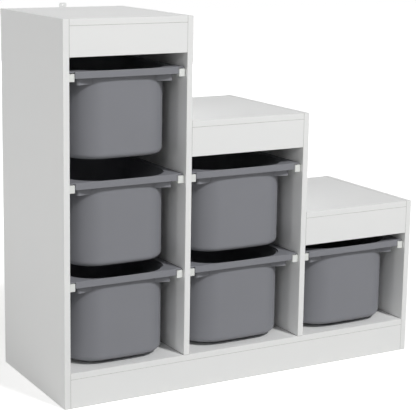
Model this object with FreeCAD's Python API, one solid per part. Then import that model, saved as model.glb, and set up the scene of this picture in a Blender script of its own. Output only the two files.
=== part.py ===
import FreeCAD
import Part
import math
import os

# Stepped toy storage organizer: three columns of white boards with pull-out plastic bins.
# Millimetres. The origin is on the floor at the middle of the cabinet's width and depth.
# The front faces -Y, +X runs from the tall column to the short one, and +Z is up.

# Cabinet
board = 15.0
depth = 373.0
tall_width = 294.5
middle_width = 310.5
short_width = 310.0
plinth_height = 69.0
apron_height = 69.0
edge_ease = 0.5
tall_headroom = 33.0
middle_headroom = 39.5
short_headroom = 19.5

# Back panels, held in grooves
back_thickness = 3.0
back_inset = 9.0
back_edge_gap = 0.5
groove_web = 5.0
groove_slack = 0.1

# Runner rails
rail_width = 16.3
rail_height = 17.8
rail_recess = 8.5
rail_rear_gap = 2.0
rail_screw_inset = 50.0
rail_screw_stagger = 16.0

# Bins
bin_drop = 198.5
bin_floor_gap = 9.5
lower_bin_gap = 24.5
upper_bin_gap = 46.5
bin_rear_gap = 8.0
bin_wall = 2.5
bin_corner_radius = 69.0
bin_front_radius = 1100.0
bin_bottom_fillet = 12.0
body_setback = 11.0
body_rail_gap = 8.1
opening_setback = 3.0
opening_rail_gap = 6.2
rim_rise = 4.5
rim_round = 1.0
lip_recess = 8.0
lip_drop = 11.3
lip_rail_gap = 1.0
flange_wall_gap = 3.0
flange_setback = 3.5
flange_rest_gap = 0.3
gusset_drop = 27.0
gusset_inset = 2.0
gusset_run = 38.0
gusset_slope = 12.0
gusset_side = 60.0
gusset_round = 6.0

# Cam locks, cam bolts and dowels
fit_gap = 0.1
cam_radius = 7.4
cam_skin = 3.0
cam_setback = 24.0
cam_edge_inset = 60.0
cam_slot_length = 9.0
cam_slot_width = 1.6
cam_slot_depth = 2.0
bolt_head_radius = 3.5
bolt_head_length = 5.0
bolt_shank_radius = 2.5
bolt_thread_radius = 3.0
bolt_skin = 4.0
dowel_radius = 4.0
dowel_length = 30.0
dowel_skin = 5.0
dowel_chamfer = 0.8
strip_cam_inset = 22.0
strip_dowel_inset = 22.0

# Rail screws
screw_radius = 2.0
screw_head_radius = 4.0
screw_head_height = 2.4
screw_skin = 3.0
screw_slot_width = 1.0
screw_slot_depth = 1.2

# Wall bracket
bracket_width = 18.0
bracket_rise = 10.5
bracket_tail = 24.0
bracket_thickness = 2.0
bracket_round = 3.0
bracket_hole_radius = 2.25
bracket_hole_drop = 5.25
bracket_screw_spacing = 9.0
bracket_screw_radius = 1.75
bracket_screw_length = 16.0
bracket_head_radius = 3.2
bracket_head_height = 1.8

# Sizes that follow from the ones above
uprights = 4
total_width = uprights * board + tall_width + middle_width + short_width
left = -total_width / 2
front = -depth / 2
rear = depth / 2
floor_top = plinth_height + board
groove_depth = (board - groove_web) / 2
top_depth = depth - bracket_thickness - bracket_head_height
rail_length = depth - rail_recess - back_inset - back_thickness - rail_rear_gap
bin_length = depth - lip_recess - back_inset - back_thickness - bin_rear_gap
bin_centre_y = front + lip_recess + bin_length / 2

lower_rail_top = floor_top + bin_floor_gap + bin_drop
centre_rail_top = lower_rail_top + rim_rise + lower_bin_gap + bin_drop
upper_rail_top = centre_rail_top + rim_rise + upper_bin_gap + bin_drop
rail_tops = {"lower": lower_rail_top, "centre": centre_rail_top, "upper": upper_rail_top}

X = FreeCAD.Vector(1, 0, 0)
Y = FreeCAD.Vector(0, 1, 0)
Z = FreeCAD.Vector(0, 0, 1)


class Column:
    """One bay of the cabinet: its clear width, its bin levels and the boards beside it."""

    def __init__(self, name, start, width, levels, headroom, left_board, right_board):
        self.name = name
        self.start = start
        self.width = width
        self.end = start + width
        self.centre = start + width / 2
        self.levels = levels
        self.left_board = left_board
        self.right_board = right_board
        self.apron_bottom = rail_tops[levels[-1]] + rim_rise + headroom
        self.under_top = self.apron_bottom + apron_height
        self.height = self.under_top + board


tall = Column("tall", left + board, tall_width, ["lower", "centre", "upper"], tall_headroom,
              "left_side_panel", "tall_divider")
middle = Column("middle", tall.end + board, middle_width, ["lower", "centre"], middle_headroom,
                "tall_divider", "middle_divider")
short = Column("short", middle.end + board, short_width, ["lower"], short_headroom,
               "middle_divider", "right_side_panel")
columns = [tall, middle, short]

boards = {}
cutters = {}
cams = []
bolts = []
dowels = []
rail_screws = []
nodes = {}


def box(x, y, z, size_x, size_y, size_z):
    return Part.makeBox(size_x, size_y, size_z, FreeCAD.Vector(x, y, z))


def rod(radius, start, end):
    """Round bar along local X from start to end."""
    return Part.makeCylinder(radius, end - start, X * start, X)


def placed(template, origin, x_axis, z_axis):
    """Copy of a template with its local X and Z along the given directions."""
    y_axis = z_axis.cross(x_axis)
    frame = FreeCAD.Matrix(x_axis.x, y_axis.x, z_axis.x, origin.x,
                           x_axis.y, y_axis.y, z_axis.y, origin.y,
                           x_axis.z, y_axis.z, z_axis.z, origin.z)
    copy = template.copy()
    copy.Placement = FreeCAD.Placement(frame)
    return copy


def add_board(name, x, y, z, size_x, size_y, size_z):
    """Board with all its edges eased."""
    blank = box(x, y, z, size_x, size_y, size_z)
    boards[name] = blank.makeChamfer(edge_ease, blank.Edges)
    cutters[name] = []


# Cabinet boards
def make_boards():
    inner_width = total_width - 2 * board
    inner_left = left + board
    add_board("left_side_panel", left, front, 0, board, depth, tall.height)
    add_board("tall_divider", tall.end, front, floor_top, board, depth, tall.height - floor_top)
    add_board("middle_divider", middle.end, front, floor_top, board, depth, middle.height - floor_top)
    add_board("right_side_panel", short.end, front, 0, board, depth, short.height)
    add_board("bottom_panel", inner_left, front, plinth_height, inner_width, depth, board)
    add_board("front_plinth", inner_left, front, 0, inner_width, board, plinth_height)
    add_board("rear_plinth", inner_left, rear - board, 0, inner_width, board, plinth_height)
    for column in columns:
        add_board(column.name + "_top", column.start, front, column.under_top,
                  column.width, top_depth, board)
        add_board(column.name + "_apron", column.start, front, column.apron_bottom,
                  column.width, board, apron_height)


def back_space(column, reach, slack):
    """Space of a back panel that reaches into the boards around it."""
    bottom = floor_top - reach
    return box(column.start - reach, rear - back_inset - back_thickness - slack, bottom,
               column.width + 2 * reach, back_thickness + 2 * slack, column.under_top + reach - bottom)


def make_backs():
    for column in columns:
        nodes[column.name + "_back"] = back_space(column, groove_depth - back_edge_gap, 0)
        groove = back_space(column, groove_depth, groove_slack)
        around = [column.left_board, column.right_board, "bottom_panel", column.name + "_top"]
        for name in around:
            cutters[name].append(groove)


# Knock-down fasteners. A cam set's local origin is on the cam's axis at mid-board, with +X
# towards the board that the bolt screws into and +Z towards the face that the cam shows on.
cam_height = board - cam_skin
cam_floor = board / 2 - cam_height
bolt_tip = cam_setback + board - bolt_skin
bolt_start = -bolt_head_length / 2


def cam_template():
    cam = Part.makeCylinder(cam_radius, cam_height, Z * cam_floor, Z)
    tunnel = rod(bolt_head_radius + fit_gap, bolt_start - fit_gap, cam_radius + fit_gap)
    slot = box(-cam_slot_length / 2, -cam_slot_width / 2, board / 2 - cam_slot_depth,
               cam_slot_length, cam_slot_width, cam_slot_depth)
    cross_slot = box(-cam_slot_width / 2, -cam_slot_length / 2, board / 2 - cam_slot_depth,
                     cam_slot_width, cam_slot_length, cam_slot_depth)
    return cam.cut([tunnel, slot, cross_slot])


def bolt_template():
    head = rod(bolt_head_radius, bolt_start, -bolt_start)
    shank = rod(bolt_shank_radius, -bolt_start, cam_setback)
    thread = rod(bolt_thread_radius, cam_setback, bolt_tip)
    return head.fuse([shank, thread]).removeSplitter()


def dowel_template():
    dowel = rod(dowel_radius, board - dowel_skin - dowel_length, board - dowel_skin)
    return dowel.makeChamfer(dowel_chamfer, [edge for edge in dowel.Edges if edge.Closed])


cam = cam_template()
cam_bore = Part.makeCylinder(cam_radius + fit_gap, board, Z * (cam_floor - fit_gap), Z)
bolt = bolt_template()
bolt_bore = rod(bolt_head_radius + fit_gap, 0, cam_setback)
thread_bore = rod(bolt_thread_radius + fit_gap, cam_setback, bolt_tip + fit_gap)
dowel = dowel_template()
dowel_bore = rod(dowel_radius + fit_gap, board - dowel_skin - dowel_length - fit_gap,
                 board - dowel_skin + fit_gap)


def join_cam(spot, toward, face, holder, other):
    """Cam in the holder's face and its bolt, which crosses the joint at the spot."""
    origin = spot - toward * cam_setback
    cams.append(placed(cam, origin, toward, face))
    bolts.append(placed(bolt, origin, toward, face))
    cutters[holder].append(placed(cam_bore, origin, toward, face))
    cutters[holder].append(placed(bolt_bore, origin, toward, face))
    cutters[other].append(placed(thread_bore, origin, toward, face))


def join_dowel(spot, toward, face, holder, other):
    """Dowel that crosses the joint at the spot."""
    dowels.append(placed(dowel, spot, toward, face))
    cutters[holder].append(placed(dowel_bore, spot, toward, face))
    cutters[other].append(placed(dowel_bore, spot, toward, face))


def join_board_end(holder, other, x, z, toward, face):
    """Two cams and a middle dowel along the end of a board that runs from front to rear."""
    join_cam(FreeCAD.Vector(x, front + cam_edge_inset, z), toward, face, holder, other)
    join_cam(FreeCAD.Vector(x, rear - cam_edge_inset, z), toward, face, holder, other)
    join_dowel(FreeCAD.Vector(x, 0, z), toward, face, holder, other)


def join_strip_end(holder, other, x, y, bottom, height, toward, face):
    """A cam above a dowel on the end of an upright strip such as an apron or a plinth."""
    join_cam(FreeCAD.Vector(x, y, bottom + height - strip_cam_inset), toward, face, holder, other)
    join_dowel(FreeCAD.Vector(x, y, bottom + strip_dowel_inset), toward, face, holder, other)


def make_board_joints():
    strip_y = front + board / 2
    for column in columns:
        top_z = column.under_top + board / 2
        ends = [(column.left_board, column.start, -X), (column.right_board, column.end, X)]
        for other, x, toward in ends:
            join_board_end(column.name + "_top", other, x, top_z, toward, -Z)
            join_strip_end(column.name + "_apron", other, x, strip_y, column.apron_bottom,
                           apron_height, toward, Y)
    outer_ends = [("left_side_panel", tall.start, -X), ("right_side_panel", short.end, X)]
    for other, x, toward in outer_ends:
        join_board_end("bottom_panel", other, x, plinth_height + board / 2, toward, -Z)
        join_strip_end("front_plinth", other, x, strip_y, 0, plinth_height, toward, Y)
        join_strip_end("rear_plinth", other, x, -strip_y, 0, plinth_height, toward, -Y)
    for divider, column in [("tall_divider", tall), ("middle_divider", middle)]:
        join_board_end(divider, "bottom_panel", column.end + board / 2, floor_top, -Z, X)


# Runner rails and their countersunk screws. A screw's local origin is on the rail's inner
# face, with +X along the screw.
screw_tip = rail_width + board - screw_skin


def rail_screw_template(grow):
    head = Part.makeCone(screw_head_radius + grow, screw_radius + grow, screw_head_height,
                         FreeCAD.Vector(0, 0, 0), X)
    return head.fuse(rod(screw_radius + grow, 0, screw_tip + grow)).removeSplitter()


def slotted_screw():
    slot = box(0, -screw_slot_width / 2, -screw_head_radius,
               screw_slot_depth, screw_slot_width, 2 * screw_head_radius)
    return rail_screw_template(0).cut(slot)


rail_screw = slotted_screw()
rail_screw_bore = rail_screw_template(fit_gap)


def make_rail(name, column, top, toward):
    """Rail on the left (toward -X) or right (toward +X) board of a column."""
    on_left = toward.x < 0
    wall_x = column.start if on_left else column.end - rail_width
    inner_x = column.start + rail_width if on_left else column.end - rail_width
    host = column.left_board if on_left else column.right_board
    rail_front = front + rail_recess
    blank = box(wall_x, rail_front, top - rail_height, rail_width, rail_length, rail_height)
    rail = blank.makeChamfer(edge_ease, blank.Edges)
    shift = -toward.x * rail_screw_stagger / 2
    for y in (rail_front + rail_screw_inset, rail_front + rail_length - rail_screw_inset):
        spot = FreeCAD.Vector(inner_x, y + shift, top - rail_height / 2)
        rail_screws.append(placed(rail_screw, spot, toward, Z))
        bore = placed(rail_screw_bore, spot, toward, Z)
        rail = rail.cut(bore)
        cutters[host].append(bore)
    nodes[name] = rail


def make_rails():
    for column in columns:
        for level in column.levels:
            stem = column.name + "_" + level
            make_rail(stem + "_left_rail", column, rail_tops[level], -X)
            make_rail(stem + "_right_rail", column, rail_tops[level], X)


# Wall bracket on the rear edge of the tall top
def make_bracket():
    face_y = front + top_depth
    bottom = tall.height - bracket_tail
    plate = box(tall.centre - bracket_width / 2, face_y, bottom,
                bracket_width, bracket_thickness, bracket_tail + bracket_rise)
    corners = [edge for edge in plate.Edges if edge.BoundBox.YLength > edge.BoundBox.ZLength
               and edge.BoundBox.YLength > edge.BoundBox.XLength]
    plate = plate.makeFillet(bracket_round, corners)
    hole_z = tall.height + bracket_rise - bracket_hole_drop
    hole = Part.makeCylinder(bracket_hole_radius, bracket_thickness,
                             FreeCAD.Vector(tall.centre, face_y, hole_z), Y)
    plate = plate.cut(hole)
    screws = []
    for side in (-1, 1):
        seat = FreeCAD.Vector(tall.centre + side * bracket_screw_spacing / 2,
                              face_y + bracket_thickness, tall.under_top + board / 2)
        head = Part.makeCylinder(bracket_head_radius, bracket_head_height, seat, Y)
        shank = Part.makeCylinder(bracket_screw_radius, bracket_screw_length, seat, -Y)
        bore = Part.makeCylinder(bracket_screw_radius + fit_gap, bracket_screw_length + fit_gap, seat, -Y)
        screws.append(head.fuse(shank).removeSplitter())
        plate = plate.cut(bore)
        cutters["tall_top"].append(bore)
    nodes["wall_bracket"] = plate
    nodes["bracket_screws"] = Part.makeCompound(screws)


# Bins. A bin's local origin is at the middle of its rim in plan, level with the rail tops.
def plan_face(half_width, half_length, front_radius, corner_radius):
    """Plan outline with bowed ends, straight sides and round corners that run smoothly into both."""
    bow_y = front_radius - half_length
    corner_x = half_width - corner_radius
    corner_y = bow_y - math.sqrt((front_radius - corner_radius) ** 2 - corner_x ** 2)
    reach = front_radius / (front_radius - corner_radius)
    joint = FreeCAD.Vector(corner_x * reach, bow_y + (corner_y - bow_y) * reach, 0)
    half_angle = math.atan2(corner_y - bow_y, corner_x) / 2
    bend = FreeCAD.Vector(corner_x + corner_radius * math.cos(half_angle),
                          corner_y + corner_radius * math.sin(half_angle), 0)
    side = FreeCAD.Vector(half_width, corner_y, 0)
    nose = FreeCAD.Vector(0, -half_length, 0)
    edges = []
    for turn in (1, -1):
        left_joint = FreeCAD.Vector(-joint.x, joint.y, 0) * turn
        rear_joint = FreeCAD.Vector(joint.x, -joint.y, 0) * turn
        rear_bend = FreeCAD.Vector(bend.x, -bend.y, 0) * turn
        rear_side = FreeCAD.Vector(side.x, -side.y, 0) * turn
        edges.append(Part.Arc(left_joint, nose * turn, joint * turn).toShape())
        edges.append(Part.Arc(joint * turn, bend * turn, side * turn).toShape())
        edges.append(Part.makeLine(side * turn, rear_side))
        edges.append(Part.Arc(rear_side, rear_bend, rear_joint).toShape())
    return Part.Face(Part.Wire(edges))


def tub(half_width, half_length, grow, bottom, top, fillet):
    """Round-cornered block in the bins' plan shape, with a filleted bottom edge if it has one."""
    face = plan_face(half_width + grow, half_length + grow,
                     bin_front_radius + grow, bin_corner_radius + grow)
    face.translate(Z * bottom)
    block = face.extrude(Z * (top - bottom))
    if fillet > 0:
        edges = [edge for edge in block.Edges if edge.BoundBox.ZMax < (bottom + top) / 2]
        block = block.makeFillet(fillet, edges)
    return block


def upright_edge(block, foot):
    """Vertical edge of a block that stands on the given point."""
    upright = Part.makeLine(foot, foot + Z * block.BoundBox.ZLength)
    return next(edge for edge in block.Edges if edge.CenterOfMass.isEqual(upright.CenterOfMass, 1e-6))


def gusset(corner_x, corner_y):
    """Web under the rim that squares off a round corner of the body: an oblique leg and a side leg."""
    lean = gusset_slope / gusset_run
    leg = bin_wall * math.hypot(1, lean)
    inner_x = corner_x - gusset_run
    points = [
        (inner_x, corner_y + gusset_slope),
        (corner_x, corner_y),
        (corner_x, corner_y + gusset_side),
        (corner_x - bin_wall, corner_y + gusset_side),
        (corner_x - bin_wall, corner_y + leg + bin_wall * lean),
        (inner_x, corner_y + gusset_slope + leg),
    ]
    loop = [FreeCAD.Vector(x, y, -gusset_drop) for x, y in points]
    face = Part.Face(Part.makePolygon(loop + loop[:1]))
    web = face.extrude(Z * (gusset_drop + rim_rise - bin_wall))
    web = web.makeFillet(gusset_round, [upright_edge(web, loop[1])])
    return web.makeFillet(gusset_round - bin_wall, [upright_edge(web, loop[4])])


def rim_plates(half_width):
    """Flange that lies over the rails, its turned-down edges, and the lips at both ends."""
    flange_half = half_width - flange_wall_gap
    lip_half = half_width - rail_width - lip_rail_gap
    half_length = bin_length / 2
    flange_length = bin_length - 2 * flange_setback
    deck_z = rim_rise - bin_wall
    flange = box(-flange_half, -flange_length / 2, deck_z, 2 * flange_half, flange_length, bin_wall)
    top_edges = [edge for edge in flange.Edges if edge.BoundBox.ZMin > deck_z + bin_wall / 2]
    plates = [flange.makeFillet(rim_round, top_edges)]
    plates.append(box(-lip_half + rim_round, -half_length + rim_round, deck_z,
                      2 * (lip_half - rim_round), bin_length - 2 * rim_round, bin_wall))
    for side in (-1, 1):
        edge_x = side * (flange_half - bin_wall / 2) - bin_wall / 2
        plates.append(box(edge_x, -flange_length / 2 + rim_round, flange_rest_gap,
                          bin_wall, flange_length - 2 * rim_round, deck_z - flange_rest_gap))
        lip_y = side * (half_length - bin_wall / 2) - bin_wall / 2
        lip = box(-lip_half, lip_y, -lip_drop, 2 * lip_half, bin_wall, lip_drop + rim_rise)
        plates.append(lip.makeFillet(rim_round, lip.Edges))
    return plates


def make_bin(width):
    half_width = width / 2
    body_half = half_width - rail_width - body_rail_gap
    body_half_length = bin_length / 2 - body_setback
    opening_half = half_width - rail_width - opening_rail_gap
    opening_half_length = bin_length / 2 - opening_setback
    floor = -bin_drop
    body = tub(body_half, body_half_length, 0, floor, 0, bin_bottom_fillet)
    collar = tub(opening_half, opening_half_length, bin_wall, -bin_wall, rim_rise, 0)
    webs = []
    web = gusset(body_half - gusset_inset, -body_half_length)
    for mirror_x, mirror_y in [(False, False), (True, False), (False, True), (True, True)]:
        piece = web.mirror(FreeCAD.Vector(0, 0, 0), X) if mirror_x else web
        webs.append(piece.mirror(FreeCAD.Vector(0, 0, 0), Y) if mirror_y else piece)
    outside = body.fuse([collar] + rim_plates(half_width) + webs)
    hollow = tub(body_half, body_half_length, -bin_wall, floor + bin_wall, rim_rise + bin_wall,
                 bin_bottom_fillet - bin_wall)
    mouth = tub(opening_half, opening_half_length, 0, 0, rim_rise + bin_wall, 0)
    return outside.cut([hollow, mouth]).removeSplitter()


def make_bins():
    for column in columns:
        shell = make_bin(column.width)
        for level in column.levels:
            spot = FreeCAD.Vector(column.centre, bin_centre_y, rail_tops[level])
            nodes[column.name + "_" + level + "_bin"] = placed(shell, spot, X, Z)


make_boards()
make_backs()
make_board_joints()
make_rails()
make_bracket()
make_bins()
for name, blank in boards.items():
    nodes[name] = blank.cut(cutters[name])
nodes["cam_locks"] = Part.makeCompound(cams)
nodes["cam_bolts"] = Part.makeCompound(bolts)
nodes["dowels"] = Part.makeCompound(dowels)
nodes["rail_screws"] = Part.makeCompound(rail_screws)

os.makedirs("parts", exist_ok=True)
for name, shape in nodes.items():
    shape.exportStep("parts/" + name + ".step")
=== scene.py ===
import math
import bpy
from mathutils import Matrix, Vector


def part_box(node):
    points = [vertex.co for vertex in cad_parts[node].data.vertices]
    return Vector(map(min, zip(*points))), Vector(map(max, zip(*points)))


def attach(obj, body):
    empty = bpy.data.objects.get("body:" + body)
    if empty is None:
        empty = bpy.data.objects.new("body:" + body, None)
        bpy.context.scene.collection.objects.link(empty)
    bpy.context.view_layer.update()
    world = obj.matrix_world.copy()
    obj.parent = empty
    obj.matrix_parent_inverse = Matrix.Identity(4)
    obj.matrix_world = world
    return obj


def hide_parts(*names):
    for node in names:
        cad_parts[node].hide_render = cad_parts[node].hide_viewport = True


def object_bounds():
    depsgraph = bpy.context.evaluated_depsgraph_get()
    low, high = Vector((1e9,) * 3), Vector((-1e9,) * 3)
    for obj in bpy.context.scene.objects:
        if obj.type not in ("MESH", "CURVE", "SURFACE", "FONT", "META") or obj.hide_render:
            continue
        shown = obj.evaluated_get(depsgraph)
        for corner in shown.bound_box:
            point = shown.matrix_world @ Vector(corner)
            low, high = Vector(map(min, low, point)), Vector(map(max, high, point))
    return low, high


# Stepped toy storage organizer: white boards, white runner rails and grey pull-out bins.
# Metres, in the part's own frame: front to -Y, short column to +X, floor at z = 0.
# Sizes of pieces are written in millimetres, and MM makes them metres.

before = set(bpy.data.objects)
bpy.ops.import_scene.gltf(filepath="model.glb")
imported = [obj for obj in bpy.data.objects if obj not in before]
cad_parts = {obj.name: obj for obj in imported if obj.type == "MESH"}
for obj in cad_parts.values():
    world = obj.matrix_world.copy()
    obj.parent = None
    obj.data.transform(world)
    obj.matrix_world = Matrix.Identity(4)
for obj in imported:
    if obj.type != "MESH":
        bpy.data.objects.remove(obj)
cad_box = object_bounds()
MM = 0.001


def linear(colour):
    """Linear RGBA of an sRGB hex colour."""
    levels = [int(colour[i:i + 2], 16) / 255 for i in (1, 3, 5)]
    return tuple(v / 12.92 if v <= 0.04045 else ((v + 0.055) / 1.055) ** 2.4 for v in levels) + (1.0,)


def add(tree, kind, inputs=None, **settings):
    """Adds a node and returns its outputs. An input takes a value, an output or a list of outputs."""
    made = tree.nodes.new(kind)
    for name, value in settings.items():
        setattr(made, name, value)
    for key, value in (inputs or {}).items():
        for source in value if isinstance(value, list) else [value]:
            if isinstance(source, bpy.types.NodeSocket):
                tree.links.new(source, made.inputs[key])
            else:
                made.inputs[key].default_value = source
    return made.outputs


def per_mm(size):
    """Texture scale that gives features of a size in millimetres."""
    return 1 / (size * MM)


# The Wave texture takes the sine of this many times a place
WAVE_RATE = 20


def wave_mm(pitch):
    """Wave texture scale that gives bands of a pitch in millimetres."""
    return 2 * math.pi / (WAVE_RATE * pitch * MM)


# Materials

# A Mix node's sockets for its two colours and for their blend, because other sockets share their names
FIRST, SECOND, MIXED = 6, 7, 2


def new_material(name):
    """Empty material and its node tree."""
    material = bpy.data.materials.new(name)
    material.use_nodes = True
    material.node_tree.nodes.clear()
    return material, material.node_tree


def white_melamine():
    """Melamine-faced chipboard, pressed against a pitted plate: satin white with a faint orange peel."""
    material, tree = new_material("white_melamine_board")
    place = add(tree, "ShaderNodeTexCoord")["Object"]
    normal = add(tree, "ShaderNodeNewGeometry")["Normal"]
    # Eased edges are the only faces that lean: there the foil is scraped thin
    facing = add(tree, "ShaderNodeVectorMath", {0: normal}, operation="ABSOLUTE")[0]
    parts = add(tree, "ShaderNodeSeparateXYZ", {0: facing})
    wide = add(tree, "ShaderNodeMath", {0: parts[0], 1: parts[1]}, operation="MAXIMUM")[0]
    widest = add(tree, "ShaderNodeMath", {0: wide, 1: parts[2]}, operation="MAXIMUM")[0]
    edge = add(tree, "ShaderNodeMapRange", {"Value": widest, "From Min": 0.98, "From Max": 0.75})[0]
    cloud = add(tree, "ShaderNodeTexNoise", {"Vector": place, "Scale": per_mm(220), "Detail": 3.0})[0]
    sheet = add(tree, "ShaderNodeMix", data_type="RGBA", inputs={
        "Factor": cloud, FIRST: linear("#eeefef"), SECOND: linear("#f1f1f0")})[MIXED]
    worn = add(tree, "ShaderNodeMix", data_type="RGBA", inputs={
        "Factor": edge, FIRST: sheet, SECOND: linear("#e6e6e4")})[MIXED]
    # Two eased edges side by side leave a fine groove; ambient occlusion darkens the colour there and
    # wherever boards touch: painted shade
    open_share = add(tree, "ShaderNodeAmbientOcclusion", {"Distance": 1.5 * MM}, samples=8)["AO"]
    painted_groove_shade = add(tree, "ShaderNodeMapRange", {"Value": open_share, "From Min": 0.95, "From Max": 0.6})[0]
    colour = add(tree, "ShaderNodeMix", data_type="RGBA", inputs={
        "Factor": painted_groove_shade, FIRST: worn, SECOND: linear("#a4a4a0")})[MIXED]
    peel = add(tree, "ShaderNodeTexNoise", {"Vector": place, "Scale": per_mm(1.4), "Detail": 2.0})[0]
    gloss = add(tree, "ShaderNodeMapRange", {
        "Value": peel, "From Min": 0.3, "From Max": 0.7, "To Min": 0.38, "To Max": 0.48})[0]
    # Scraped edges are a little duller
    rough = add(tree, "ShaderNodeMath", {0: edge, 1: 0.12, 2: gloss}, operation="MULTIPLY_ADD")[0]
    bump = add(tree, "ShaderNodeBump", {"Height": peel, "Strength": 0.35, "Distance": 0.06 * MM})[0]
    shader = add(tree, "ShaderNodeBsdfPrincipled", {
        "Base Color": colour, "Roughness": rough, "Normal": bump, "IOR": 1.5})[0]
    add(tree, "ShaderNodeOutputMaterial", {0: shader})
    return material


def grey_polypropylene():
    """Injection-moulded polypropylene from a spark-eroded mould: matt grey with a fine even grain."""
    material, tree = new_material("grey_polypropylene")
    place = add(tree, "ShaderNodeTexCoord")["Object"]
    # The real grain is about 0.2 mm: drawn coarser so that it holds at picture size
    grain = add(tree, "ShaderNodeTexNoise", {"Vector": place, "Scale": per_mm(0.9), "Detail": 2.0})[0]
    flow = add(tree, "ShaderNodeTexNoise", {"Vector": place, "Scale": per_mm(90), "Detail": 2.0})[0]
    colour = add(tree, "ShaderNodeMix", data_type="RGBA", inputs={
        "Factor": flow, FIRST: linear("#828388"), SECOND: linear("#86878d")})[MIXED]
    rough = add(tree, "ShaderNodeMapRange", {
        "Value": grain, "From Min": 0.3, "From Max": 0.7, "To Min": 0.48, "To Max": 0.6})[0]
    bump = add(tree, "ShaderNodeBump", {"Height": grain, "Strength": 0.4, "Distance": 0.05 * MM})[0]
    shader = add(tree, "ShaderNodeBsdfPrincipled", {
        "Base Color": colour, "Roughness": rough, "Normal": bump, "IOR": 1.49, "Specular IOR Level": 0.3})[0]
    add(tree, "ShaderNodeOutputMaterial", {0: shader})
    return material


def lacquered_hardboard():
    """Pressed wood fibre: sprayed white and smooth on the front, with the press cloth's weave on the rear."""
    material, tree = new_material("lacquered_hardboard")
    place = add(tree, "ShaderNodeTexCoord")["Object"]
    normal = add(tree, "ShaderNodeNewGeometry")["Normal"]
    rear = add(tree, "ShaderNodeVectorMath", {0: normal, 1: (0, 1, 0)}, operation="DOT_PRODUCT")["Value"]
    rear = add(tree, "ShaderNodeMapRange", {"Value": rear, "From Min": 0.4, "From Max": 0.6})[0]
    # The real weave is about 1.5 mm: drawn coarser so that it holds at picture size
    across, along = (add(tree, "ShaderNodeTexWave", {"Vector": place, "Scale": wave_mm(4), "Distortion": 0.4},
                         bands_direction=way)[1] for way in "XZ")
    weave = add(tree, "ShaderNodeMath", {0: across, 1: along}, operation="MULTIPLY")[0]
    print_depth = add(tree, "ShaderNodeMath", {0: weave, 1: rear}, operation="MULTIPLY")[0]
    fibre = add(tree, "ShaderNodeTexNoise", {"Vector": place, "Scale": per_mm(6), "Detail": 4.0})[0]
    fleck = add(tree, "ShaderNodeMath", {0: fibre, 1: rear}, operation="MULTIPLY")[0]
    colour = add(tree, "ShaderNodeMix", data_type="RGBA", inputs={
        "Factor": fleck, FIRST: linear("#ebebe9"), SECOND: linear("#d6d1c6")})[MIXED]
    rough = add(tree, "ShaderNodeMapRange", {"Value": rear, "To Min": 0.45, "To Max": 0.8})[0]
    bump = add(tree, "ShaderNodeBump", {"Height": print_depth, "Strength": 0.5, "Distance": 0.15 * MM})[0]
    shader = add(tree, "ShaderNodeBsdfPrincipled", {
        "Base Color": colour, "Roughness": rough, "Normal": bump})[0]
    add(tree, "ShaderNodeOutputMaterial", {0: shader})
    return material


def extruded_plastic():
    """White plastic drawn through a die: satin, with fine die lines along the rail."""
    material, tree = new_material("extruded_white_plastic")
    place = add(tree, "ShaderNodeTexCoord")["Object"]
    drawn = add(tree, "ShaderNodeVectorMath", {0: place, 1: (1, 0.02, 1)}, operation="MULTIPLY")[0]
    lines = add(tree, "ShaderNodeTexNoise", {"Vector": drawn, "Scale": per_mm(1.2), "Detail": 2.0})[0]
    tone = add(tree, "ShaderNodeTexNoise", {"Vector": place, "Scale": per_mm(40), "Detail": 2.0})[0]
    colour = add(tree, "ShaderNodeMix", data_type="RGBA", inputs={
        "Factor": tone, FIRST: linear("#e4e6e3"), SECOND: linear("#e8eae7")})[MIXED]
    rough = add(tree, "ShaderNodeMapRange", {
        "Value": lines, "From Min": 0.3, "From Max": 0.7, "To Min": 0.36, "To Max": 0.5})[0]
    bump = add(tree, "ShaderNodeBump", {"Height": lines, "Strength": 0.3, "Distance": 0.05 * MM})[0]
    shader = add(tree, "ShaderNodeBsdfPrincipled", {
        "Base Color": colour, "Roughness": rough, "Normal": bump})[0]
    add(tree, "ShaderNodeOutputMaterial", {0: shader})
    return material


def cast_zinc():
    """Zinc cast in a steel die and left raw: dull grey metal with a frosty skin."""
    material, tree = new_material("cast_zinc")
    place = add(tree, "ShaderNodeTexCoord")["Object"]
    frost = add(tree, "ShaderNodeTexNoise", {"Vector": place, "Scale": per_mm(0.7), "Detail": 3.0})[0]
    colour = add(tree, "ShaderNodeMix", data_type="RGBA", inputs={
        "Factor": frost, FIRST: linear("#a3a6a8"), SECOND: linear("#b9bbbc")})[MIXED]
    rough = add(tree, "ShaderNodeMapRange", {
        "Value": frost, "From Min": 0.3, "From Max": 0.7, "To Min": 0.42, "To Max": 0.6})[0]
    bump = add(tree, "ShaderNodeBump", {"Height": frost, "Strength": 0.4, "Distance": 0.05 * MM})[0]
    shader = add(tree, "ShaderNodeBsdfPrincipled", {
        "Base Color": colour, "Roughness": rough, "Normal": bump, "Metallic": 1.0})[0]
    add(tree, "ShaderNodeOutputMaterial", {0: shader})
    return material


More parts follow.
